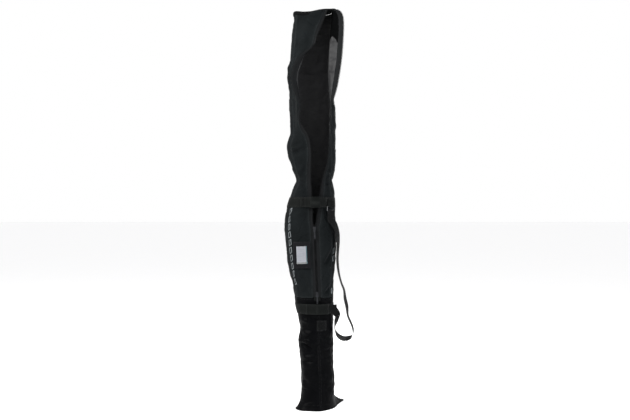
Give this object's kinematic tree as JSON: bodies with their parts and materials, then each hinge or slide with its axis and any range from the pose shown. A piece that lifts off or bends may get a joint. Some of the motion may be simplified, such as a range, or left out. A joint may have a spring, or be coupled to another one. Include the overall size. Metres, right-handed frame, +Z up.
{
  "type": "ski bag",
  "caption": "Tall soft ski bag standing upright, zip open from the top to mid height, with webbing handles, a hanging shoulder strap, a label pocket and a reinforced foot.",
  "frame": {"origin": "on the floor under the bag, inside the base's outline", "axes": "+Z up along the bag, -Y to the front with the zip, +X to the side with the shoulder strap"},
  "size_m": [0.3272, 0.2705, 1.9047],
  "materials": {
    "shell_fabric": "charcoal woven polyester, dull",
    "foot_fabric": "coated black fabric, slight sheen",
    "lining_fabric": "smooth grey lining, satin",
    "binding": "black woven tape",
    "webbing": "ribbed black webbing",
    "strap_webbing": "ribbed black webbing",
    "wrap_fabric": "padded black fabric",
    "zip_tape": "dark woven tape",
    "zip_coil": "black coil, satin",
    "slider_metal": "plated cast metal",
    "ring_steel": "plated wire",
    "pocket_fabric": "coated black frame",
    "window_film": "clear film",
    "card": "plain white card"
  },
  "bodies": {
    "bag": {"back_panel": "shell_fabric", "left_side_panel": "shell_fabric", "right_side_panel": "shell_fabric", "front_left_panel": "shell_fabric", "front_right_panel": "shell_fabric", "top_panel": "shell_fabric", "top_binding": "binding", "lining_back": "lining_fabric", "lining_left": "lining_fabric", "lining_right": "lining_fabric", "foot_back": "foot_fabric", "foot_front_left": "foot_fabric", "foot_front_right": "foot_fabric", "foot_seam_tape": "binding", "foot_patch": "webbing", "base_panel": "foot_fabric", "base_binding": "binding", "zip_tape_left": "zip_tape", "zip_tape_right": "zip_tape", "zip_coil_left": "zip_coil", "zip_coil_right": "zip_coil", "zip_end_tab": "webbing", "upper_band": "webbing", "upper_handle_end_left": "webbing", "upper_handle_end_right": "webbing", "lower_band": "webbing", "lower_handle_end_left": "webbing", "lower_handle_end_right": "webbing", "ring_tab": "webbing", "strap_ring": "ring_steel", "strap_upper_end": "strap_webbing", "strap_lower_end": "strap_webbing", "label_pocket": "pocket_fabric", "label_window": "window_film"},
    "upper_slider": {"upper_slider": "slider_metal"},
    "upper_pull": {"upper_pull": "slider_metal"},
    "lower_slider": {"lower_slider": "slider_metal"},
    "lower_pull": {"lower_pull": "slider_metal"},
    "upper_handle": {"upper_handle": "webbing", "upper_handle_wrap": "wrap_fabric"},
    "lower_handle": {"lower_handle": "webbing"},
    "strap": {"shoulder_strap": "strap_webbing"},
    "card": {"label_card": "card"}
  },
  "joints": [
    {"name": "upper_slider_slide", "type": "slide", "parent": "bag", "child": "upper_slider", "axis": [-0.04, -0.0053, 0.9992], "range_m": [-0.11, 0]},
    {"name": "upper_pull_hinge", "type": "hinge", "parent": "upper_slider", "child": "upper_pull", "pos_m": [-0.00248, -0.08853, 0.85396], "axis": [-0.9992, 0, -0.04], "range_deg": [0, 100]},
    {"name": "lower_slider_slide", "type": "slide", "parent": "bag", "child": "lower_slider", "axis": [-0.04, -0.0053, 0.9992], "range_m": [0, 0.12]},
    {"name": "lower_pull_hinge", "type": "hinge", "parent": "lower_slider", "child": "lower_pull", "pos_m": [0.00982, -0.08689, 0.54696], "axis": [-0.9992, 0, -0.04], "range_deg": [0, 100]},
    {"name": "upper_handle_swing", "type": "hinge", "parent": "bag", "child": "upper_handle", "pos_m": [0.002, -0.0959, 0.982], "axis": [1, 0, 0], "range_deg": [-25, 25], "stiffness_Nm_per_rad": 0.05},
    {"name": "lower_handle_swing", "type": "hinge", "parent": "bag", "child": "lower_handle", "pos_m": [0.009, -0.0929, 0.478], "axis": [1, 0, 0], "range_deg": [-20, 20], "stiffness_Nm_per_rad": 0.05},
    {"name": "strap_swing", "type": "hinge", "parent": "bag", "child": "strap", "pos_m": [0.076, -0.077, 0.924], "axis": [-0.0658, -0.072, 0.9952], "range_deg": [-35, 8]},
    {"name": "card_slide", "type": "slide", "parent": "bag", "child": "card", "axis": [-0.0038, -0.0206, 0.9998], "range_m": [0, 0.07]}
  ]
}
